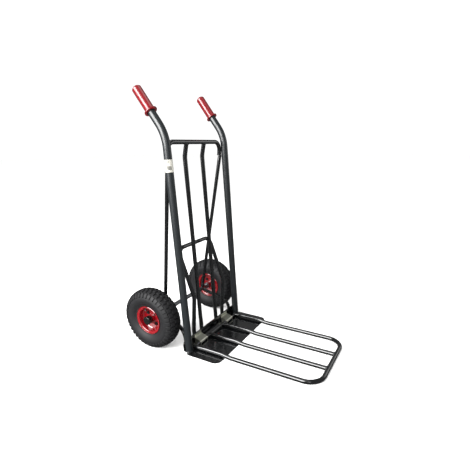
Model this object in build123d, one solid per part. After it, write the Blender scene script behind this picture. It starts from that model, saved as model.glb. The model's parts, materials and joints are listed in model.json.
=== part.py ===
from build123d import *

import os
from math import asin, atan2, cos, degrees, hypot, radians, sin, sqrt, tan

# A two-wheeled tubular hand truck with a fold-down load extension, in millimetres.
# +Z is up, -Y is the front (the load side), +X is the right-hand side seen from behind.
# The origin is on the underside of the toe plate, midway between the feet of the main tubes.

# ---- main tubes and grips ----
MAIN_OD = 30.0
MAIN_WALL = 2.0
MAIN_HALF_SPACING = 197.0
LEAN = 3.0                    # degrees from vertical
HANDLE_VERTEX = 873.0         # from the floor, along the tube, to the corner of the bend
HANDLE_ANGLE = 36.9           # degrees from vertical
HANDLE_BEND_R = 150.0
HANDLE_LENGTH = 201.0         # from the corner of the bend to the tip of the grip
GRIP_LENGTH = 105.0
GRIP_OD = 36.0
GRIP_FLANGE_OD = 49.0
GRIP_FLANGE_T = 5.0
GRIP_END_WALL = 4.0
GRIP_CHAMFER = 5.0
SLIP = 0.1                    # radial clearance of a sleeve on its tube

# ---- small tubes ----
SMALL_OD = 18.0
STRUT_OD = 16.0
SMALL_WALL = 1.5
WELD_GAP = 0.3                # left between two round pieces that a weld joins
TUBE_BEND_R = 60.0
CORNER_R = 38.0

ARCH_HEIGHT = 846.0
ARCH_SETBACK = 14.1           # of the crossbar, behind the main tubes' axes
ARCH_LEG_SETBACK = 20.0       # of the legs' lower ends
ARCH_DROP = 54.0              # from the crossbar down to the legs' lower ends

INNER_HALF_SPACING = 60.0
FOOT_RISE = 8.0               # lower ends of the small tubes, above the floor

STRUT_AXLE_X = 143.0
STRUT_TOP_GAP = 2.5           # below the arch's leg, for the weld
BRACE_BEND_RISE = 76.0
BRACE_X = 180.0

HOOP_HALF_SPACING = 117.0
HOOP_KNEE_Y = 20.0
HOOP_KNEE_Z = 214.0
HOOP_TOP_Y = 92.0
HOOP_TOP_Z = 420.0

# ---- toe plate ----
PLATE_T = 4.0
PLATE_HALF_W = 225.0
PLATE_DEPTH = 160.0           # in front of the main tubes' feet
PLATE_CORNER_R = 28.0
PLATE_REAR_R = 14.0
FLANGE_HALF_W = 210.0
FLANGE_HEIGHT = 45.0
FLANGE_CORNER_R = 16.0
BEND_INNER_R = 1.0

# ---- axle ----
AXLE_R = 10.0
AXLE_Y = 165.0
AXLE_CHAMFER = 1.0
COLLAR_R = 14.0
COLLAR_LENGTH = 7.0
WASHER_R = 15.5
WASHER_T = 2.2
SIDE_PLAY = 0.3               # along the axle, each side of a washer
PIN_R = 1.6
PIN_HALF_LENGTH = 13.0
AXLE_END = 3.5                # beyond the split pin's centre

# ---- wheels, with "offset" measured outwards from the wheel's mid-plane ----
WHEEL_X = 225.0
TYRE_R = 133.0
TYRE_HALF_W = 42.5
BEAD_R = 54.0
SIDEWALL_T = 4.5
TREAD_T = 9.0
SHOULDER_INSET = 6.0
SHOULDER_DROP = 12.0
RIM_SHEET = 2.0
RIM_LIP_R = 61.5
RIM_BEAD_OFFSET = 23.5
HUB_OD = 32.0
HUB_BORE = 29.0
HUB_IN = 37.5
HUB_OUT = 26.0
BEARING_LENGTH = 15.0
RUNNING = 0.06                # radial clearance of a running fit
CAP_WALL = 2.0
CAP_OVERLAP = 7.0
CAP_EDGE_R = 3.0
BOLT_CIRCLE_R = 30.0
BOLT_COUNT = 4
BOLT_R = 4.0
BOLT_HEAD_AF = 13.0
BOLT_HEAD_H = 5.3
NUT_H = 6.5
BOLT_TAIL = 3.0
TUBE_WALL = 2.0
TUBE_RISE = 8.0               # of the inflated tube above the bead seat
VALVE_R = 4.0
VALVE_OFFSET = 6.0
VALVE_ANGLE = 62.0            # position round the rim, degrees from the front
VALVE_TILT = 32.0             # outwards
VALVE_STEM = 19.0
VALVE_THREAD_R = 2.6
VALVE_THREAD = 5.0
VALVE_CAP_R = 3.9
VALVE_CAP_LENGTH = 8.0

# ---- extension ----
EXT_FRONT = 556.0
NEST_GAP = 1.0                # between the extension and a main tube, sideways
EXT_INNER_HALF_SPACING = 55.0
EXT_CORNER_R = 65.0
EXT_BEND_R = 110.0
ROD_R = 6.0
ROD_Y = -10.0
ROD_END = 2.0                 # of a rail's notched end, behind the rod's axis
LIFT = 0.4                    # of the extension above what it lies over
CREST = 2.2                   # extra rise of the rails over the toe plate
CREST_START = 45.0            # in front of the rod
CREST_END = 16.0              # behind the plate's front edge
DROP_END = 28.0               # in front of the plate's front edge

# ---- hinge brackets ----
BRACKET_X = 110.0
BRACKET_W = 52.0
BRACKET_T = 2.5
BRACKET_BEND_R = 3.0
LEAF_TOP_DROP = 2.0           # below the flange's top
LEAF_HEIGHT = 14.0
BRACKET_CLEAR = 0.4           # round the rod, under the wrapped strip
BRACKET_SKIRT = 2.0           # of the strip, below the rod's axis
RIVET_R = 2.5
RIVET_HEAD_R = 4.2
RIVET_HEAD_H = 2.4
RIVET_HALF_SPACING = 18.0

# ---- label ----
LABEL_T = 0.3
LABEL_HEIGHT = 45.0
LABEL_WIDTH = 46.0
LABEL_BOTTOM = 741.0          # along the tube
LABEL_FACING = 222.0          # degrees in plan

# ---- worked out from the sizes above ----
main_r = MAIN_OD / 2
small_r = SMALL_OD / 2
strut_r = STRUT_OD / 2
lean = radians(LEAN)
flange_front = main_r + BEND_INNER_R
flange_rear = flange_front + PLATE_T
small_setback = flange_rear + small_r + WELD_GAP
strut_setback = flange_rear + strut_r + WELD_GAP
axle_z = TYRE_R
rail_half_spacing = MAIN_HALF_SPACING - main_r - NEST_GAP - small_r
rod_z = PLATE_T + small_r + LIFT
rail_z = small_r + LIFT
wheel_place = Pos(WHEEL_X, AXLE_Y, axle_z)
ON_BASE = (Align.CENTER, Align.CENTER, Align.MIN)


def on_tube(along, setback):
    """Y and Z of a point this far along a main tube and this far behind its axis."""
    y = along * sin(lean) + setback * cos(lean)
    z = along * cos(lean) - setback * sin(lean)
    return y, z


def along_at_height(z, setback):
    """Distance along a main tube of a point at this height and setback."""
    return (z + setback * sin(lean)) / cos(lean)


def rod_on(path, radius):
    """A solid round bar along a path."""
    start = Plane(origin=path @ 0, z_dir=path % 0)
    return sweep(start * Circle(radius), path=path)


def tube_on(path, radius, wall):
    """A round tube along a path."""
    start = Plane(origin=path @ 0, z_dir=path % 0)
    return sweep(start * (Circle(radius) - Circle(radius - wall)), path=path)


def bent(points, radii):
    """Straight runs through the points, joined by arcs."""
    return FilletPolyline(*points, radius=radii)


def left_of(shape):
    """The matching left-hand piece."""
    return mirror(shape, about=Plane.YZ)


def save(shape, name):
    export_step(shape, f"parts/{name}.step")


def save_pair(shape, name):
    save(shape, f"{name}_right")
    save(left_of(shape), f"{name}_left")


def x_cylinder(radius, x_from, x_to, y=0.0, z=0.0):
    """A cylinder along X."""
    middle = Plane(origin=(x_from, y, z), z_dir=(1, 0, 0))
    return extrude(middle * Circle(radius), x_to - x_from)


def ring(outer_r, inner_r, x_from, x_to):
    return x_cylinder(outer_r, x_from, x_to) - x_cylinder(inner_r, x_from - 1, x_to + 1)


def spun(face):
    """A profile drawn with X along the wheel's axis and Y as the radius, turned once round."""
    return revolve(face, axis=Axis.X, revolution_arc=360)


# ---- frame: main tubes and grips ----
def main_tube_path():
    x = MAIN_HALF_SPACING
    vertex_y, vertex_z = on_tube(HANDLE_VERTEX, 0)
    reach = HANDLE_LENGTH - GRIP_END_WALL
    angle = radians(HANDLE_ANGLE)
    tip = (x, vertex_y + reach * sin(angle), vertex_z + reach * cos(angle))
    return bent([(x, 0, 0), (x, vertex_y, vertex_z), tip], [HANDLE_BEND_R])


def main_tube():
    tube = tube_on(main_tube_path(), main_r, MAIN_WALL)
    below_plate_top = Pos(MAIN_HALF_SPACING, 0, 0) * Box(2 * MAIN_OD, 2 * MAIN_OD, 2 * PLATE_T)
    return tube - below_plate_top


def grip():
    path = main_tube_path()
    tip = Plane(origin=path @ 1, z_dir=path % 1)
    inner_r = main_r + SLIP
    half = [
        (0, 0),
        (inner_r, 0),
        (inner_r, GRIP_END_WALL - GRIP_LENGTH),
        (GRIP_FLANGE_OD / 2, GRIP_END_WALL - GRIP_LENGTH),
        (GRIP_FLANGE_OD / 2, GRIP_END_WALL - GRIP_LENGTH + GRIP_FLANGE_T),
        (GRIP_OD / 2, GRIP_END_WALL - GRIP_LENGTH + GRIP_FLANGE_T),
        (GRIP_OD / 2, GRIP_END_WALL - GRIP_CHAMFER),
        (GRIP_OD / 2 - GRIP_CHAMFER, GRIP_END_WALL),
        (0, GRIP_END_WALL),
    ]
    profile = make_face(Plane.XZ * Polyline(*half, close=True))
    return tip * revolve(profile, axis=Axis.Z, revolution_arc=360)


def label():
    y, z = on_tube(LABEL_BOTTOM, 0)
    up_tube = (0, sin(lean), cos(lean))
    tube_frame = Plane(origin=(-MAIN_HALF_SPACING, y, z), x_dir=(1, 0, 0), z_dir=up_tube)
    inner_r = main_r + SLIP
    half_angle = degrees(LABEL_WIDTH / 2 / main_r)
    start = LABEL_FACING - half_angle
    arc = CenterArc((0, 0), inner_r + LABEL_T / 2, start, 2 * half_angle)
    return tube_frame * extrude(trace(arc, LABEL_T), LABEL_HEIGHT)


# ---- frame: small tubes ----
def arch_half_spacing():
    """The arch's legs touch the inner rear side of the main tubes where the corners end."""
    end_of_corner = CORNER_R / ARCH_DROP
    setback = ARCH_SETBACK + (ARCH_LEG_SETBACK - ARCH_SETBACK) * end_of_corner
    touching = main_r + small_r + WELD_GAP
    return MAIN_HALF_SPACING - sqrt(touching ** 2 - setback ** 2)


def arch_path():
    x = arch_half_spacing()
    top = on_tube(along_at_height(ARCH_HEIGHT, ARCH_SETBACK), ARCH_SETBACK)
    foot = on_tube(along_at_height(ARCH_HEIGHT - ARCH_DROP, ARCH_LEG_SETBACK), ARCH_LEG_SETBACK)
    points = [(-x, *foot), (-x, *top), (x, *top), (x, *foot)]
    return bent(points, [CORNER_R] * 2)


def inner_bar_path():
    x = INNER_HALF_SPACING
    top = on_tube(along_at_height(ARCH_HEIGHT, ARCH_SETBACK), ARCH_SETBACK)
    kink = on_tube(along_at_height(ARCH_HEIGHT - ARCH_DROP, small_setback), small_setback)
    foot = on_tube(FOOT_RISE, small_setback)
    return bent([(x, *foot), (x, *kink), (x, *top)], [TUBE_BEND_R])


def strut_path():
    """From beside the arch's leg straight down to the axle."""
    beside = MAIN_HALF_SPACING - arch_half_spacing()
    setback = sqrt((main_r + strut_r + WELD_GAP) ** 2 - beside ** 2)
    top_along = along_at_height(ARCH_HEIGHT - ARCH_DROP, setback) - STRUT_TOP_GAP
    top = (arch_half_spacing(), *on_tube(top_along, setback))
    return Line((STRUT_AXLE_X, AXLE_Y, axle_z), top)


def brace_path():
    """From the axle forward to behind the main tube's foot, then down the flange."""
    bend = (BRACE_X, *on_tube(BRACE_BEND_RISE, strut_setback))
    foot = (BRACE_X, *on_tube(FOOT_RISE, strut_setback))
    return bent([(STRUT_AXLE_X, AXLE_Y, axle_z), bend, foot], [TUBE_BEND_R])


def hoop_path():
    x = HOOP_HALF_SPACING
    foot = on_tube(FOOT_RISE, small_setback)
    flange_top = on_tube(FLANGE_HEIGHT + small_r, small_setback)
    knee = (HOOP_KNEE_Y, HOOP_KNEE_Z)
    top = (HOOP_TOP_Y, HOOP_TOP_Z)
    up = [foot, flange_top, knee, top]
    points = [(-x, *p) for p in up] + [(x, *p) for p in reversed(up)]
    legs = [TUBE_BEND_R] * 2
    return bent(points, legs + [CORNER_R] * 2 + legs)


# ---- frame: toe plate ----
def toe_plate():
    mid = PLATE_T / 2
    flange_mid = flange_front + mid
    corner = (0, flange_mid / cos(lean) + mid * tan(lean), mid)
    top = (0, *on_tube(FLANGE_HEIGHT + PLATE_T, flange_mid))
    path = bent([(0, -PLATE_DEPTH, mid), corner, top], [BEND_INNER_R + mid])
    start = Plane(origin=path @ 0, x_dir=(1, 0, 0), z_dir=path % 0)
    sheet = sweep(start * Rectangle(2 * PLATE_HALF_W, PLATE_T), path=path)
    plan = Rectangle(2 * PLATE_HALF_W, 2 * PLATE_DEPTH)
    plan = fillet(plan.vertices().group_by(Axis.Y)[0], PLATE_CORNER_R)
    behind = Pos(0, PLATE_DEPTH) * Rectangle(4 * PLATE_HALF_W, 2 * PLATE_DEPTH)
    wide = fillet((plan - behind).vertices().group_by(Axis.Y)[-1], PLATE_REAR_R)
    narrow = Rectangle(2 * FLANGE_HALF_W, PLATE_DEPTH)
    outline = extrude(wide + narrow, 2 * FLANGE_HEIGHT, both=True)
    upright = Rectangle(2 * FLANGE_HALF_W, 2 * FLANGE_HEIGHT)
    upright = fillet(upright.vertices().group_by(Axis.Y)[-1], FLANGE_CORNER_R)
    low = Rectangle(2 * PLATE_HALF_W, 2 * (PLATE_T + BEND_INNER_R))
    elevation = extrude(Plane.XZ * (upright + low), 2 * PLATE_DEPTH, both=True)
    return sheet & outline & elevation


# ---- axle ----
def axle_half_length():
    return WHEEL_X + HUB_OUT + 2 * SIDE_PLAY + WASHER_T + 2 * PIN_R + AXLE_END


def pin_x():
    return WHEEL_X + HUB_OUT + 2 * SIDE_PLAY + WASHER_T + PIN_R


def split_pin(radius):
    return Pos(pin_x(), AXLE_Y, axle_z) * Cylinder(radius, 2 * PIN_HALF_LENGTH)


def axle():
    half = axle_half_length()
    bar = x_cylinder(AXLE_R, -half, half, AXLE_Y, axle_z)
    bar = chamfer(bar.edges().filter_by(GeomType.CIRCLE), AXLE_CHAMFER)
    hole = split_pin(PIN_R + RUNNING)
    return bar - hole - left_of(hole)


def axle_collar():
    outer = WHEEL_X - HUB_IN - WASHER_T - 2 * SIDE_PLAY
    return Pos(0, AXLE_Y, axle_z) * ring(COLLAR_R, AXLE_R, outer - COLLAR_LENGTH, outer)


def axle_washer(x_from):
    return Pos(0, AXLE_Y, axle_z) * ring(WASHER_R, AXLE_R + RUNNING, x_from, x_from + WASHER_T)


# ---- wheels ----
def tyre():
    """A pneumatic tyre: bead, bulging sidewall, shoulder and rounded tread, hollow inside."""
    shoulder = (TYRE_HALF_W - SHOULDER_INSET, TYRE_R - SHOULDER_DROP)
    bead_x = RIM_BEAD_OFFSET
    bead_top = (bead_x + 1.5, RIM_LIP_R - 1)
    widest = (TYRE_HALF_W, (bead_top[1] + shoulder[1]) / 2)
    in_shoulder = (shoulder[0] - SIDEWALL_T, shoulder[1] - TREAD_T / 2)
    in_bead_top = (bead_top[0] - SIDEWALL_T, bead_top[1] + 2)
    in_widest = (TYRE_HALF_W - SIDEWALL_T, widest[1])
    bead_toe = (bead_x - SIDEWALL_T, BEAD_R)

    def mirrored(point):
        return (-point[0], point[1])

    outline = [
        Line((bead_x, BEAD_R), bead_top),
        ThreePointArc(bead_top, widest, shoulder),
        ThreePointArc(shoulder, (0, TYRE_R), mirrored(shoulder)),
        ThreePointArc(mirrored(shoulder), mirrored(widest), mirrored(bead_top)),
        Line(mirrored(bead_top), (-bead_x, BEAD_R)),
        Line((-bead_x, BEAD_R), mirrored(bead_toe)),
        Line(mirrored(bead_toe), mirrored(in_bead_top)),
        ThreePointArc(mirrored(in_bead_top), mirrored(in_widest), mirrored(in_shoulder)),
        ThreePointArc(mirrored(in_shoulder), (0, TYRE_R - TREAD_T), in_shoulder),
        ThreePointArc(in_shoulder, in_widest, in_bead_top),
        Line(in_bead_top, bead_toe),
        Line(bead_toe, (bead_x, BEAD_R)),
    ]
    return spun(make_face(outline))


def tube_section():
    """Half-width, half-height and centre radius of the inflated tube's oval section."""
    low = BEAD_R + TUBE_RISE
    high = TYRE_R - TREAD_T - 2
    return TYRE_HALF_W - 2 * SIDEWALL_T - 3, (high - low) / 2, (high + low) / 2


def inner_tube():
    half_w, half_h, centre_r = tube_section()
    section = Ellipse(half_w, half_h) - Ellipse(half_w - TUBE_WALL, half_h - TUBE_WALL)
    return spun(Pos(0, centre_r) * section)


def valve_axis():
    """Place on the rim, turned so that local Z runs along the valve, towards the hub and out."""
    half_w, half_h, centre_r = tube_section()
    on_inner_tube = Pos(VALVE_OFFSET, centre_r - half_h, 0)
    return Rot(VALVE_ANGLE, 0, 0) * on_inner_tube * Rot(90, 0, 0) * Rot(0, VALVE_TILT, 0)


def valve():
    half_w, half_h, centre_r = tube_section()
    stem = Cylinder(VALVE_R, VALVE_STEM, align=ON_BASE)
    thread = Pos(0, 0, VALVE_STEM) * Cylinder(VALVE_THREAD_R, VALVE_THREAD, align=ON_BASE)
    inflated = spun(Pos(0, centre_r) * Ellipse(half_w, half_h))
    return valve_axis() * (stem + thread) - inflated


def valve_cap():
    body = Cylinder(VALVE_CAP_R, VALVE_CAP_LENGTH, align=ON_BASE)
    bore = Cylinder(VALVE_THREAD_R + RUNNING, VALVE_THREAD + WELD_GAP, align=ON_BASE)
    return valve_axis() * Pos(0, 0, VALVE_STEM + WELD_GAP) * (body - bore)


def rim_half_profile():
    """Sheet mid-line from the hub hole out to the rolled lip, for the outer half."""
    mid = RIM_SHEET / 2
    barrel_r = BEAD_R - mid - 0.3
    lip = RIM_BEAD_OFFSET + 3
    points = [
        (mid, HUB_OD / 2 + 0.3),
        (mid, barrel_r - 5),
        (mid + 5, barrel_r),
        (lip, barrel_r),
        (lip + 3, RIM_LIP_R - 1.0),
        (lip + 4.5, RIM_LIP_R + 0.2),
    ]
    return trace(bent(points, [3.0, 3.0, 4.0, 1.5]), RIM_SHEET)


def bolt_places():
    for number in range(BOLT_COUNT):
        yield Rot(360 / BOLT_COUNT * (number + 0.5), 0, 0) * Pos(0, BOLT_CIRCLE_R, 0)


def rim_half():
    half = spun(rim_half_profile())
    hole = x_cylinder(BOLT_R + 0.2, -2 * RIM_SHEET, 2 * RIM_SHEET)
    for place in bolt_places():
        half -= place * hole
    return half


def rim_outer():
    return rim_half() - valve_axis() * Cylinder(VALVE_R + 0.5, 60)


def rim_inner():
    return mirror(rim_half(), about=Plane.YZ)


def hexagon(x_from, x_to):
    start = Plane(origin=(x_from, 0, 0), x_dir=(0, 1, 0), z_dir=(1, 0, 0))
    return extrude(start * RegularPolygon(BOLT_HEAD_AF / sqrt(3), 6), x_to - x_from)


def rim_bolt():
    shank_end = -RIM_SHEET - NUT_H - BOLT_TAIL
    return hexagon(RIM_SHEET, RIM_SHEET + BOLT_HEAD_H) + x_cylinder(BOLT_R, shank_end, RIM_SHEET + 1)


def rim_nut():
    return hexagon(-RIM_SHEET - NUT_H, -RIM_SHEET) - x_cylinder(BOLT_R + 0.02, -2 * NUT_H, 0)


def round_the_hub(piece):
    return Compound([place * piece for place in bolt_places()])


def hub():
    return ring(HUB_OD / 2, HUB_BORE / 2, -HUB_IN, HUB_OUT)


def bearing(x_from):
    return ring(HUB_BORE / 2 - 0.05, AXLE_R + RUNNING, x_from, x_from + BEARING_LENGTH)


def hub_cap():
    """A push-on cap that hides the washer, the split pin and the axle's end."""
    inner_r = HUB_OD / 2 + SLIP
    outer_r = inner_r + CAP_WALL
    open_end = HUB_OUT - CAP_OVERLAP
    inside = axle_half_length() - WHEEL_X + CAP_WALL
    body = x_cylinder(outer_r, open_end, inside + CAP_WALL)
    body = fillet(body.edges().filter_by(GeomType.CIRCLE).group_by(Axis.X)[-1], CAP_EDGE_R)
    return body - x_cylinder(inner_r, open_end - 1, inside)


# ---- extension ----
def rail_height_points():
    """Y and Z of a rail's corners, from the rod over the toe plate to the front bar."""
    crest_z = rod_z + CREST
    return [
        (ROD_Y + ROD_END, rod_z),
        (ROD_Y - CREST_START, crest_z),
        (CREST_END - PLATE_DEPTH, crest_z),
        (-PLATE_DEPTH - DROP_END, rail_z),
        (-EXT_FRONT, rail_z),
    ]


def extension_hoop_path():
    x = rail_half_spacing
    side = rail_height_points()
    points = [(-x, *p) for p in side] + [(x, *p) for p in reversed(side)]
    rises = [EXT_BEND_R] * 3
    return bent(points, rises + [EXT_CORNER_R] * 2 + rises)


def extension_rail_path():
    x = EXT_INNER_HALF_SPACING
    return bent([(x, *p) for p in rail_height_points()], [EXT_BEND_R] * 3)


def hinge_rod():
    half = rail_half_spacing + small_r
    return x_cylinder(ROD_R, -half, half, ROD_Y, rod_z)


# ---- hinge brackets ----
def bracket_corners():
    """Side view of the strip: down the flange, sloping over the rod, then down in front of it."""
    mid = BRACKET_T / 2
    leaf_top = on_tube(FLANGE_HEIGHT - LEAF_TOP_DROP, flange_front - mid)
    leaf_low = on_tube(FLANGE_HEIGHT - LEAF_TOP_DROP - LEAF_HEIGHT, flange_front - mid)
    wrap_r = ROD_R + BRACKET_CLEAR + mid
    to_leaf = (leaf_low[0] - ROD_Y, leaf_low[1] - rod_z)
    slope = atan2(to_leaf[1], to_leaf[0]) - asin(wrap_r / hypot(*to_leaf))
    front_y = ROD_Y - wrap_r
    front_z = leaf_low[1] - (leaf_low[0] - front_y) * tan(slope)
    front_low = (front_y, rod_z - BRACKET_SKIRT)
    return [leaf_top, leaf_low, (front_y, front_z), front_low], wrap_r


def hinge_bracket():
    """A pressed bracket: a strip wrapped over the rod, with a bored cheek at each side."""
    corners, wrap_r = bracket_corners()
    side_view = Plane(origin=(BRACKET_X - BRACKET_W / 2, 0, 0), x_dir=(0, 1, 0), z_dir=(1, 0, 0))
    strip = extrude(side_view * trace(bent(corners, [BRACKET_BEND_R, wrap_r]), BRACKET_T), BRACKET_W)
    rear_setback = flange_front - BRACKET_T
    rear_low = on_tube(along_at_height(PLATE_T + LIFT, rear_setback), rear_setback)
    front_foot = (corners[-1][0], PLATE_T + LIFT)
    outline = [bent(corners[1:], [wrap_r]), Polyline(corners[-1], front_foot, rear_low, corners[1])]
    cheek = extrude(side_view * make_face(outline), BRACKET_T)
    bracket = strip + cheek + Pos(BRACKET_W - BRACKET_T, 0, 0) * cheek
    for place in rivet_places():
        bracket -= place * Cylinder(RIVET_R + 0.02, 8 * PLATE_T)
    return bracket - x_cylinder(ROD_R + RUNNING, 0, 2 * BRACKET_X, ROD_Y, rod_z)


def rivet_places():
    """Each rivet's middle, on the flange's front face, with local Z pointing to the rear."""
    along = FLANGE_HEIGHT - LEAF_TOP_DROP - LEAF_HEIGHT / 2 + 1
    y, z = on_tube(along, flange_front)
    for x in (BRACKET_X - RIVET_HALF_SPACING, BRACKET_X + RIVET_HALF_SPACING):
        plane = Plane(origin=(x, y, z), x_dir=(1, 0, 0), z_dir=(0, cos(lean), -sin(lean)))
        yield plane.location


def rivet():
    shank = Pos(0, 0, (PLATE_T - BRACKET_T) / 2) * Cylinder(RIVET_R, PLATE_T + BRACKET_T)
    head = Cylinder(RIVET_HEAD_R, RIVET_HEAD_H, align=ON_BASE)
    head = fillet(head.edges().filter_by(GeomType.CIRCLE).sort_by(Axis.Z)[-1], RIVET_HEAD_H - 0.4)
    rear = Pos(0, 0, PLATE_T) * head
    front = Pos(0, 0, -BRACKET_T) * Rot(180, 0, 0) * head
    return shank + rear + front


# ---- build ----
os.makedirs("parts", exist_ok=True)

save_pair(main_tube(), "main_tube")
save_pair(grip(), "grip")
save(label(), "label")

arch_space = rod_on(arch_path(), small_r + WELD_GAP)
save(tube_on(arch_path(), small_r, SMALL_WALL), "arch_tube")
save_pair(tube_on(inner_bar_path(), small_r, SMALL_WALL) - arch_space, "inner_bar")

axle_bar = axle()
axle_space = x_cylinder(AXLE_R + WELD_GAP, 0, WHEEL_X, AXLE_Y, axle_z)
strut_space = rod_on(strut_path(), strut_r + WELD_GAP)
save_pair(tube_on(strut_path(), strut_r, SMALL_WALL) - axle_space, "rear_strut")
save_pair(tube_on(brace_path(), strut_r, SMALL_WALL) - axle_space - strut_space, "lower_brace")
save(tube_on(hoop_path(), small_r, SMALL_WALL), "rear_hoop")

plate = toe_plate()
brackets = hinge_bracket()
rivets = [place * rivet() for place in rivet_places()]
rivets += [left_of(piece) for piece in rivets]
for place in rivet_places():
    hole = place * Cylinder(RIVET_R + 0.02, 8 * PLATE_T)
    plate -= hole
    plate -= left_of(hole)
save(plate, "toe_plate")
save_pair(brackets, "hinge_bracket")
save(Compound(rivets), "hinge_rivets")

save(axle_bar, "axle")
save_pair(axle_collar(), "axle_collar")
save_pair(axle_washer(WHEEL_X - HUB_IN - WASHER_T - SIDE_PLAY), "inner_washer")
save_pair(axle_washer(WHEEL_X + HUB_OUT + SIDE_PLAY), "outer_washer")
save_pair(split_pin(PIN_R), "split_pin")

wheel_pieces = {
    "tyre": tyre(),
    "inner_tube": inner_tube(),
    "valve": valve(),
    "valve_cap": valve_cap(),
    "rim_outer": rim_outer(),
    "rim_inner": rim_inner(),
    "rim_bolts": round_the_hub(rim_bolt()),
    "rim_nuts": round_the_hub(rim_nut()),
    "hub": hub(),
    "bearing_outer": bearing(HUB_OUT - BEARING_LENGTH),
    "bearing_inner": bearing(-HUB_IN),
    "hub_cap": hub_cap(),
}
for name, piece in wheel_pieces.items():
    save_pair(wheel_place * piece, name)

rod_reach = 2 * MAIN_HALF_SPACING
rod_space = x_cylinder(ROD_R + WELD_GAP, -rod_reach, rod_reach, ROD_Y, rod_z)
hoop_space = rod_on(extension_hoop_path(), small_r + WELD_GAP)
save(tube_on(extension_hoop_path(), small_r, SMALL_WALL) - rod_space, "extension_hoop")
extension_rail = tube_on(extension_rail_path(), small_r, SMALL_WALL)
save_pair(extension_rail - rod_space - hoop_space, "extension_rail")
save(hinge_rod(), "hinge_rod")
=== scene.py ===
import json
import math

import bpy
from mathutils import Euler, Matrix, Vector


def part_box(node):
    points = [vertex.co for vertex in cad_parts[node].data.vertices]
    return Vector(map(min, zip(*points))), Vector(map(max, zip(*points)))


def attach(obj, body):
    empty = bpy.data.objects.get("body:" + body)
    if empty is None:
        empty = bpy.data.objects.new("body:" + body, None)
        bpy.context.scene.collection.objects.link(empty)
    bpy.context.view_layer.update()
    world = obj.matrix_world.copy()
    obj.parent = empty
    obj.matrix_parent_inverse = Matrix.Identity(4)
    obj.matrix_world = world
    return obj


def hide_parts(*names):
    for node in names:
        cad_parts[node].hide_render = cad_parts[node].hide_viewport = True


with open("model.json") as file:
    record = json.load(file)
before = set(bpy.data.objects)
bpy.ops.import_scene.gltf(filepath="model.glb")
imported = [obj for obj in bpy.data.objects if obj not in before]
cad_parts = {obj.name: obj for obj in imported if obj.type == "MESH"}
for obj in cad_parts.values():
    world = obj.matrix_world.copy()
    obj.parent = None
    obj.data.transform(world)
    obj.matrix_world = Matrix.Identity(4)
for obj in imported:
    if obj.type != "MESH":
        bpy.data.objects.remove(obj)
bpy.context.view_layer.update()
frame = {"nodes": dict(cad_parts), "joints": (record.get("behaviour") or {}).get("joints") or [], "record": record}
nodes = frame["nodes"]
jointPlace = {joint["name"]: Vector(joint["pos_m"]) for joint in frame["joints"]}
mm = 0.001
print("frame loaded,", len(nodes), "CAD nodes")


def linear(hexColour):
    channels = [int(hexColour[i:i + 2], 16) / 255 for i in (1, 3, 5)]
    return [c / 12.92 if c <= 0.04045 else ((c + 0.055) / 1.055) ** 2.4 for c in channels] + [1.0]


def addNode(owner, kind, settings=None, inputs=None):
    # the owner is a material or the world; an input is a plain value or another node's output
    node = owner.node_tree.nodes.new(kind)
    for name, value in (settings or {}).items():
        setattr(node, name, value)
    for name, value in (inputs or {}).items():
        if isinstance(value, bpy.types.NodeSocket):
            owner.node_tree.links.new(value, node.inputs[name])
        else:
            node.inputs[name].default_value = value
    return node


def newMaterial(name, colour, settings):
    material = bpy.data.materials.new(name)
    material.use_nodes = True
    shader = material.node_tree.nodes["Principled BSDF"]
    shader.inputs["Base Color"].default_value = linear(colour)
    for socket, value in settings.items():
        shader.inputs[socket].default_value = value
    return material, shader


def objectNoise(material, size, detail):
    # noise whose features are about this many millimetres across
    place = addNode(material, "ShaderNodeTexCoord").outputs["Object"]
    settings = {"Vector": place, "Scale": 1 / (size * mm), "Detail": detail}
    return addNode(material, "ShaderNodeTexNoise", inputs=settings).outputs["Fac"]


def addBump(material, shader, height, depth, strength):
    # depth in millimetres
    settings = {"Height": height, "Distance": depth * mm, "Strength": strength}
    bump = addNode(material, "ShaderNodeBump", inputs=settings)
    material.node_tree.links.new(bump.outputs["Normal"], shader.inputs["Normal"])


def addRoughnessRange(material, shader, factor, low, high):
    # nearly all of a noise's values lie from 0.3 to 0.7
    settings = {"Value": factor, "From Min": 0.3, "From Max": 0.7, "To Min": low, "To Max": high}
    spread = addNode(material, "ShaderNodeMapRange", inputs=settings)
    material.node_tree.links.new(spread.outputs["Result"], shader.inputs["Roughness"])


paint = {
    "mainColour": "#14181a", "tubeColour": "#08090a",
    "peelSize": 1.6, "peelDepth": 0.03,
}


def framePowderCoat():
    # polyester powder coat, sprayed and baked: satin gloss with a faint orange peel
    settings = {"Roughness": 0.36, "IOR": 1.5, "Coat Weight": 0.3, "Coat Roughness": 0.16}
    material, shader = newMaterial("anthracitePowderCoat", paint["mainColour"], settings)
    addBump(material, shader, objectNoise(material, paint["peelSize"], 2), paint["peelDepth"], 0.5)
    return material


def tubePowderCoat():
    # the same coat in near-black, smoother, so it draws a sharp line of light along a tube
    settings = {"Roughness": 0.18, "IOR": 1.5, "Coat Weight": 0.7, "Coat Roughness": 0.1}
    material, shader = newMaterial("blackPowderCoat", paint["tubeColour"], settings)
    addBump(material, shader, objectNoise(material, paint["peelSize"], 2), paint["peelDepth"], 0.4)
    return material


def zincPlate():
    # bright zinc on pressed sheet: grey metal with cloudy patches
    material, shader = newMaterial("zincPlatedSteel", "#cfd0c2", {"Metallic": 1.0})
    addRoughnessRange(material, shader, objectNoise(material, 9, 4), 0.28, 0.45)
    return material


def barSteel():
    # drawn bar, ground: mid-grey metal, polished a little unevenly
    material, shader = newMaterial("brightDrawnSteel", "#8e9092", {"Metallic": 1.0})
    addRoughnessRange(material, shader, objectNoise(material, 4, 3), 0.25, 0.4)
    return material


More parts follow.
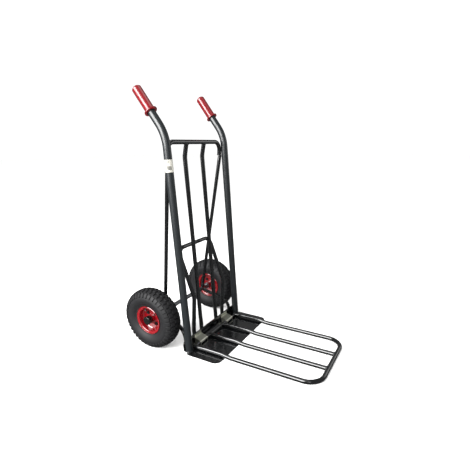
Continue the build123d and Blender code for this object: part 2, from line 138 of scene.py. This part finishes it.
def boltSteel():
    # black-phosphated steel: dark, dull metal
    material, shader = newMaterial("blackPhosphatedSteel", "#3a3a3c", {"Metallic": 1.0})
    addRoughnessRange(material, shader, objectNoise(material, 3, 3), 0.42, 0.6)
    return material


def gripPvc():
    # dipped soft PVC: saturated deep red with a broad soft gloss
    settings = {"IOR": 1.53, "Coat Weight": 0.4, "Coat Roughness": 0.12}
    material, shader = newMaterial("redDippedPvc", "#60050c", settings)
    addRoughnessRange(material, shader, objectNoise(material, 7, 3), 0.2, 0.32)
    addBump(material, shader, objectNoise(material, 1.5, 2), 0.03, 0.4)
    return material


def rimEnamel():
    # stoved enamel on pressed steel: deep red under a hard clear gloss
    settings = {"IOR": 1.5, "Coat Weight": 1.0, "Coat Roughness": 0.04}
    material, shader = newMaterial("redStovedEnamel", "#6e030c", settings)
    addRoughnessRange(material, shader, objectNoise(material, 12, 2), 0.15, 0.27)
    addBump(material, shader, objectNoise(material, 2.5, 2), 0.03, 0.4)
    return material


def tyreRubber():
    # moulded carbon-black rubber: dull dark grey with a fine grain
    settings = {"Roughness": 0.62, "IOR": 1.52, "Specular IOR Level": 0.35}
    material, shader = newMaterial("mouldedTyreRubber", "#111113", settings)
    addBump(material, shader, objectNoise(material, 1.2, 4), 0.12, 0.6)
    return material


def tubeRubber():
    # butyl rubber: smooth, black, half dull
    material, shader = newMaterial("butylRubber", "#121212", {"Roughness": 0.5, "IOR": 1.52})
    addBump(material, shader, objectNoise(material, 1.0, 3), 0.06, 0.5)
    return material


def capPlastic():
    # injection-moulded polyethylene: black, glossy
    material, shader = newMaterial("blackPolyethylene", "#0c0d0c", {"IOR": 1.51})
    addRoughnessRange(material, shader, objectNoise(material, 5, 3), 0.13, 0.24)
    return material


labelMarks = {
    "paper": "#9f9d95", "ink": "#1d1c1b",
    # the way the sticker faces, in degrees round the tube from the right-hand side
    "facing": 222,
    # plain blocks, as (lowest, highest) share of the sticker's height and of its width
    "blocks": [((0.76, 0.88), (0.30, 0.52)), ((0.20, 0.50), (0.18, 0.82))],
    # the blocks are made of bars: millimetres from bar to bar, and the share that is ink
    "barPitch": 3.2, "barShare": 0.7,
}


def between(material, value, low, high):
    above = addNode(material, "ShaderNodeMath", {"operation": "GREATER_THAN"}, {0: value, 1: low})
    below = addNode(material, "ShaderNodeMath", {"operation": "LESS_THAN"}, {0: value, 1: high})
    both = {0: above.outputs[0], 1: below.outputs[0]}
    return addNode(material, "ShaderNodeMath", {"operation": "MULTIPLY"}, both).outputs[0]


def labelBlocks(material, width, height):
    # 1 on the printed blocks and 0 on bare paper
    low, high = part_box("label")
    size = high - low
    printed = 0.0
    for (bottom, top), (left, right) in labelMarks["blocks"]:
        rows = between(material, height, low.z + bottom * size.z, low.z + top * size.z)
        columns = between(material, width, left * size.x, right * size.x)
        block = addNode(material, "ShaderNodeMath", {"operation": "MULTIPLY"},
                        {0: rows, 1: columns}).outputs[0]
        printed = addNode(material, "ShaderNodeMath", {"operation": "MAXIMUM"},
                          {0: printed, 1: block}).outputs[0]
    return printed


def labelPaper():
    # coated paper sticker, printed with plain bars that say nothing
    settings = {"Roughness": 0.45, "IOR": 1.5}
    material, shader = newMaterial("coatedPaperSticker", labelMarks["paper"], settings)
    low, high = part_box("label")
    middle, size = (low + high) / 2, high - low
    place = addNode(material, "ShaderNodeTexCoord").outputs["Object"]
    height = addNode(material, "ShaderNodeSeparateXYZ", inputs={"Vector": place}).outputs["Z"]
    # width runs level across the sticker's face from its left edge, and follows the tube's lean
    facing = math.radians(labelMarks["facing"])
    lean = (size.y - size.x) / size.z
    across = Vector((-math.sin(facing), math.cos(facing), -lean * math.cos(facing)))
    reach = addNode(material, "ShaderNodeVectorMath", {"operation": "DOT_PRODUCT"},
                    {0: place, 1: across}).outputs["Value"]
    width = addNode(material, "ShaderNodeMath", {"operation": "SUBTRACT"},
                    {0: reach, 1: middle.dot(across) - size.x / 2}).outputs[0]
    halfPitch = labelMarks["barPitch"] / 2 * mm
    bars = addNode(material, "ShaderNodeMath", {"operation": "PINGPONG"},
                   {0: reach, 1: halfPitch}).outputs[0]
    inBar = addNode(material, "ShaderNodeMath", {"operation": "LESS_THAN"},
                    {0: bars, 1: halfPitch * labelMarks["barShare"]}).outputs[0]
    printed = addNode(material, "ShaderNodeMath", {"operation": "MULTIPLY"},
                      {0: labelBlocks(material, width, height), 1: inBar}).outputs[0]
    # a colour mix has its two colours in sockets 6 and 7, and its result in output 2
    colours = {"Factor": printed, 6: linear(labelMarks["paper"]), 7: linear(labelMarks["ink"])}
    mix = addNode(material, "ShaderNodeMix", {"data_type": "RGBA"}, colours)
    material.node_tree.links.new(mix.outputs[2], shader.inputs["Base Color"])
    return material


makers = {
    "frame_paint": framePowderCoat, "tube_paint": tubePowderCoat,
    "zinc_plate": zincPlate, "axle_steel": barSteel, "bolt_steel": boltSteel,
    "grip_red": gripPvc, "rim_red": rimEnamel,
    "tyre_rubber": tyreRubber, "tube_rubber": tubeRubber,
    "black_plastic": capPlastic, "label_paper": labelPaper,
}
materials = {slot: make() for slot, make in makers.items()}
for part in frame["record"]["subparts"]:
    for slot in nodes[part["node"]].material_slots:
        slot.material = materials[part["material_slot"]]
print("materials made,", len(materials))


def clearSelection():
    if bpy.context.object and bpy.context.object.mode != "OBJECT":
        bpy.ops.object.mode_set(mode="OBJECT")
    bpy.ops.object.select_all(action="DESELECT")


def makeActive(piece):
    clearSelection()
    piece.select_set(True)
    bpy.context.view_layer.objects.active = piece


def editPiece(piece):
    makeActive(piece)
    bpy.ops.object.mode_set(mode="EDIT")
    bpy.ops.mesh.select_all(action="DESELECT")
    bpy.ops.mesh.select_mode(type="FACE")
    bpy.ops.object.mode_set(mode="OBJECT")


def addModifier(piece, kind, settings):
    makeActive(piece)
    modifier = piece.modifiers.new(kind.lower(), kind)
    for name, value in settings.items():
        setattr(modifier, name, value)
    bpy.ops.object.modifier_apply(modifier=modifier.name)


def spinProfile(name, points, steps):
    # a profile of (radius, height) in millimetres, drawn point by point and spun about Z
    places = [Vector((radius * mm, 0, height * mm)) for radius, height in points]
    clearSelection()
    bpy.ops.mesh.primitive_plane_add(size=mm)
    piece = bpy.context.object
    piece.name = name
    bpy.ops.object.mode_set(mode="EDIT")
    bpy.ops.mesh.select_mode(type="VERT")
    bpy.ops.mesh.select_all(action="SELECT")
    bpy.ops.mesh.merge(type="CENTER")
    bpy.ops.transform.translate(value=places[0])
    for place, following in zip(places, places[1:]):
        bpy.ops.mesh.extrude_vertices_move(TRANSFORM_OT_translate={"value": following - place})
    bpy.ops.mesh.select_all(action="SELECT")
    bpy.ops.mesh.spin(steps=steps, angle=math.tau, center=(0, 0, 0), axis=(0, 0, 1))
    bpy.ops.mesh.select_all(action="SELECT")
    bpy.ops.mesh.remove_doubles(threshold=0.001 * mm)
    bpy.ops.mesh.normals_make_consistent(inside=False)
    bpy.ops.object.mode_set(mode="OBJECT")
    return piece


def settle(piece, place):
    # the piece's place goes into its mesh, as a CAD node's does
    makeActive(piece)
    piece.matrix_world = place
    bpy.ops.object.transform_apply(location=True, rotation=True, scale=True)


def finishPiece(piece, slot, body, smoothAngle=35):
    makeActive(piece)
    bpy.ops.object.shade_smooth_by_angle(angle=math.radians(smoothAngle))
    piece.data.materials.clear()
    piece.data.materials.append(materials[slot])
    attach(piece, body)


def copyOf(piece, name):
    copy = piece.copy()
    copy.data = piece.data.copy()
    copy.name = name
    bpy.context.scene.collection.objects.link(copy)
    return copy


sides = {"left": -1, "right": 1}

tyre = {
    # half section from the bead to the crown: (distance from the centre plane, radius)
    "bead": [(20.0, 54.6), (23.2, 54.6), (24.6, 60.4)],
    "sidewall": [(27.6, 63.6), (29.6, 66.4), (29.2, 67.6), (33.2, 71.8), (37.4, 79.0),
                 (40.4, 87.0), (41.6, 95.0), (40.9, 101.5), (39.0, 105.5)],
    "shoulderLug": [(37.2, 111.2), (34.4, 116.4), (29.8, 121.0)],
    "outerGroove": [(27.0, 122.7)],
    "block": [(19.0, 126.0), (11.0, 127.8)],
    "innerGroove": [(8.0, 128.2)],
    "inside": [(18.0, 68.0), (32.0, 80.0), (36.0, 96.0), (31.0, 112.5), (16.0, 121.3),
               (0.0, 122.8)],
    "pitches": 40, "stepsPerPitch": 3, "grooveSteps": 1,
    "lugHeight": 4.2, "edgeRadius": 0.6,
}


def tyreSection():
    half = (tyre["bead"] + tyre["sidewall"] + tyre["shoulderLug"] + tyre["outerGroove"]
            + tyre["block"] + tyre["innerGroove"])
    outside = half + [(-x, r) for x, r in reversed(half)]
    inside = tyre["inside"] + [(-x, r) for x, r in reversed(tyre["inside"][:-1])]
    loop = outside + inside[::-1] + [outside[0]]
    return [(r, x) for x, r in loop]


def lugRows():
    # a row's lowest and highest distance from the centre plane, and its stagger in pitches
    grooveSide = tyre["shoulderLug"][-1][0]
    rows = [(-tyre["innerGroove"][0][0], tyre["innerGroove"][0][0], 0.0)]
    for sign in sides.values():
        shoulder = sorted((sign * grooveSide, sign * tyre["sidewall"][-1][0]))
        block = sorted((sign * tyre["outerGroove"][0][0], sign * tyre["block"][-1][0]))
        rows += [(*shoulder, 0.0), (*block, 0.5)]
    return rows


def selectLugs(piece, row):
    low, high, stagger = row
    steps = tyre["pitches"] * tyre["stepsPerPitch"]
    edgeOfSidewall = tyre["sidewall"][-1][1] * mm
    for face in piece.data.polygons:
        radius = math.hypot(face.center.x, face.center.y)
        turn = math.atan2(face.center.y, face.center.x) / math.tau % 1.0
        step = int(turn * steps + stagger * tyre["stepsPerPitch"]) % tyre["stepsPerPitch"]
        onRow = low * mm < face.center.z < high * mm and radius > edgeOfSidewall
        outward = face.normal.x * face.center.x + face.normal.y * face.center.y > 0
        if onRow and outward and step >= tyre["grooveSteps"]:
            face.select = True


def makeTyre():
    piece = spinProfile("tyre_tread", tyreSection(), tyre["pitches"] * tyre["stepsPerPitch"])
    editPiece(piece)
    for row in lugRows():
        selectLugs(piece, row)
    bpy.ops.object.mode_set(mode="EDIT")
    bpy.ops.mesh.extrude_region_shrink_fatten(
        TRANSFORM_OT_shrink_fatten={"value": tyre["lugHeight"] * mm})
    bpy.ops.object.mode_set(mode="OBJECT")
    bevel = {"width": tyre["edgeRadius"] * mm, "segments": 1, "limit_method": "ANGLE",
             "angle_limit": math.radians(50)}
    addModifier(piece, "BEVEL", bevel)
    return piece


tyreModel = makeTyre()
for side, sign in sides.items():
    tyrePiece = copyOf(tyreModel, f"treaded_tyre_{side}")
    turn = Matrix.Rotation(math.radians(sign * 90), 4, "Y")
    settle(tyrePiece, Matrix.Translation(jointPlace[f"{side}_wheel_spin"]) @ turn)
    finishPiece(tyrePiece, "tyre_rubber", f"{side}_wheel")
    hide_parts(f"tyre_{side}")
bpy.data.objects.remove(tyreModel)
print("tyres made")


grip = {
    "angle": 36.9, "length": 105.0, "radius": 18.0, "bore": 15.1, "endWall": 4.0,
    "flangeRadius": 24.5, "flangeThickness": 5.0,
    "chamfer": 5.0, "edgeRadius": 1.3, "steps": 48,
}


def makeGrip():
    length, chamfer = grip["length"], grip["chamfer"]
    points = [
        (0, -grip["endWall"]), (grip["bore"], -grip["endWall"]), (grip["bore"], -length),
        (grip["flangeRadius"], -length), (grip["flangeRadius"], grip["flangeThickness"] - length),
        (grip["radius"], grip["flangeThickness"] - length), (grip["radius"], -chamfer),
        (grip["radius"] - chamfer, 0), (0, 0),
    ]
    piece = spinProfile("grip_model", points, grip["steps"])
    bevel = {"width": grip["edgeRadius"] * mm, "segments": 3, "limit_method": "ANGLE",
             "angle_limit": math.radians(30)}
    addModifier(piece, "BEVEL", bevel)
    return piece


def gripPlace(side):
    angle = math.radians(grip["angle"])
    low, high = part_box(f"grip_{side}")
    endRadius = (grip["radius"] - grip["chamfer"]) * mm
    tipZ = high.z - endRadius * math.sin(angle)
    tipY = high.y - (grip["radius"] * math.cos(angle) - grip["chamfer"] * math.sin(angle)) * mm
    tip = Vector(((low.x + high.x) / 2, tipY, tipZ))
    return Matrix.Translation(tip) @ Matrix.Rotation(-angle, 4, "X")


gripModel = makeGrip()
for side in sides:
    gripPiece = copyOf(gripModel, f"moulded_grip_{side}")
    settle(gripPiece, gripPlace(side))
    finishPiece(gripPiece, "grip_red", "frame")
    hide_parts(f"grip_{side}")
bpy.data.objects.remove(gripModel)
print("grips made")


weld = {
    "bead": 1.9, "ripple": 0.7, "rippleSize": 2.6, "smoothAngle": 80,
    # radii of the tubes, thickness of the toe plate, and how far a ring bends round a tube
    "mainTube": 15.0, "smallTube": 9.0, "strut": 8.0, "plate": 4.0, "saddle": 7.0,
    # the rails' rings are a little small and high, so that the beads stay off the floor
    "railRing": 8.2, "railLift": 1.4, "railSaddle": 6.0,
}
upwards, forwards, sideways = Vector((0, 0, 1)), Vector((0, -1, 0)), Vector((1, 0, 0))


def finishBead(piece, body):
    makeActive(piece)
    piece.data.bevel_depth = weld["bead"] * mm
    piece.data.bevel_resolution = 3
    piece.data.resolution_u = 10
    bpy.ops.object.convert(target="MESH")
    piece = bpy.context.object
    settle(piece, piece.matrix_world.copy())
    ripple = bpy.data.textures.new("weldRipple", "CLOUDS")
    ripple.noise_scale = weld["rippleSize"] * mm
    addModifier(piece, "DISPLACE", {"texture": ripple, "strength": weld["ripple"] * mm})
    finishPiece(piece, "frame_paint", body, weld["smoothAngle"])


def weldRing(name, centre, into, radius, saddle, body):
    # a bead round a tube's end: into points at the piece it meets, which runs sideways
    across = into.cross(sideways).normalized()
    turn = Matrix((across.cross(into), across, into)).transposed().to_4x4()
    clearSelection()
    bpy.ops.curve.primitive_bezier_circle_add(radius=radius * mm)
    ring = bpy.context.object
    ring.name = name
    ring.data.dimensions = "3D"
    for point in ring.data.splines[0].bezier_points:
        if abs(point.co.y) > abs(point.co.x):
            for handle in ("co", "handle_left", "handle_right"):
                setattr(point, handle, getattr(point, handle) + Vector((0, 0, saddle * mm)))
    ring.matrix_world = Matrix.Translation(centre) @ turn
    finishBead(ring, body)


def middleX(node):
    low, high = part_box(node)
    return (low.x + high.x) / 2


def weldFrame():
    low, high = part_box("arch_tube")
    small = weld["smallTube"] * mm
    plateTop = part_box("toe_plate")[0].z + weld["plate"] * mm
    for side, sign in sides.items():
        underArch = (middleX(f"inner_bar_{side}"), low.y + small, high.z - 2 * small)
        weldRing(f"weld_bar_to_arch_{side}", underArch, upwards, weld["smallTube"],
                 weld["saddle"], "frame")
        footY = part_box(f"main_tube_{side}")[0].y + weld["mainTube"] * mm
        foot = (middleX(f"main_tube_{side}"), footY, plateTop)
        weldRing(f"weld_tube_to_plate_{side}", foot, upwards, weld["mainTube"], 0, "frame")
        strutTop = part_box(f"rear_strut_{side}")[1].z
        legEnd = (sign * (high.x - small), high.y - small, (low.z + strutTop) / 2)
        weldRing(f"weld_strut_to_leg_{side}", legEnd, upwards, weld["strut"], 0, "frame")


def weldExtension():
    low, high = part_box("extension_hoop")
    small = weld["smallTube"] * mm
    for side in sides:
        railEnd = (middleX(f"extension_rail_{side}"), low.y + 2 * small,
                   low.z + small + weld["railLift"] * mm)
        weldRing(f"weld_rail_to_front_{side}", railEnd, forwards, weld["railRing"],
                 weld["railSaddle"], "extension")


weldFrame()
weldExtension()
print("welds made")


studio = {
    "floor": "#fcfcfb", "floorSize": 60.0, "world": "#ffffff",
    # how bright the white room is as a light, and as it is seen in gloss
    "ambient": 1.12, "reflected": 0.2,
}


def makeFloor():
    clearSelection()
    bpy.ops.mesh.primitive_plane_add(size=studio["floorSize"])
    floor = bpy.context.object
    floor.name = "studio_floor"
    material, shader = newMaterial("matteStudioFloor", studio["floor"], {"Roughness": 0.9})
    floor.data.materials.append(material)
    # black flags stand between the gloss paint and the white room, so tubes keep dark edges
    floor.visible_glossy = False


def makeWorld():
    world = bpy.data.worlds.new("studioWorld")
    world.use_nodes = True
    background = world.node_tree.nodes["Background"]
    background.inputs["Color"].default_value = linear(studio["world"])
    glossy = addNode(world, "ShaderNodeLightPath").outputs["Is Glossy Ray"]
    flags = {"Value": glossy, "To Min": studio["ambient"], "To Max": studio["reflected"]}
    strength = addNode(world, "ShaderNodeMapRange", inputs=flags).outputs["Result"]
    world.node_tree.links.new(strength, background.inputs["Strength"])
    bpy.context.scene.world = world
    bpy.context.scene.view_settings.view_transform = "Standard"


lights = {
    # the wide softbox stands over the left side and draws the line of light down the tubes
    "side": {
        "place": (-2.7, 0.7, 1.9), "target": (0, -0.1, 0.3), "size": (2.6, 2.2), "power": 310,
    },
    "front": {
        "place": (-2.4, -1.7, 1.6), "target": (0, 0, 0.5), "size": (0.6, 1.0), "power": 12,
    },
    # the card is low on the right, where the zinc brackets' sloping faces reflect it
    "card": {
        "place": (1.9, -1.6, 1.2), "target": (0, 0, 0.05), "size": (1.2, 1.2), "power": 6,
    },
    "overhead": {
        "place": (0.4, 0.2, 3.4), "target": (0, 0, 0), "size": (1.6, 1.6), "power": 12,
    },
}


def makeLights():
    for name, light in lights.items():
        clearSelection()
        aim = (Vector(light["target"]) - Vector(light["place"])).to_track_quat("-Z", "Y")
        bpy.ops.object.light_add(type="AREA", location=light["place"], rotation=aim.to_euler())
        lamp = bpy.context.object
        lamp.name = f"{name}_softbox"
        lamp.data.shape = "RECTANGLE"
        lamp.data.size, lamp.data.size_y = light["size"]
        lamp.data.energy = light["power"]


camera = {
    # place in metres, angles in degrees, and a lens in millimetres on a 36 mm sensor
    "place": (-1.2378, -0.8357, 0.8320), "yaw": 60.2577, "down": 18.1244, "roll": -0.8626,
    "lens": 27.187, "shift": (-0.0050, 0.0556),
}


def makeCamera():
    data = bpy.data.cameras.new("camera")
    data.sensor_width = 36
    data.lens = camera["lens"]
    data.shift_x, data.shift_y = camera["shift"]
    holder = bpy.data.objects.new("camera", data)
    bpy.context.scene.collection.objects.link(holder)
    aim = Euler((math.radians(90 - camera["down"]), 0, math.radians(-camera["yaw"])))
    tilt = Matrix.Rotation(math.radians(camera["roll"]), 4, "Z")
    holder.matrix_world = Matrix.Translation(camera["place"]) @ aim.to_matrix().to_4x4() @ tilt
    bpy.context.scene.camera = holder


makeFloor()
makeWorld()
makeLights()
makeCamera()
print("studio made")
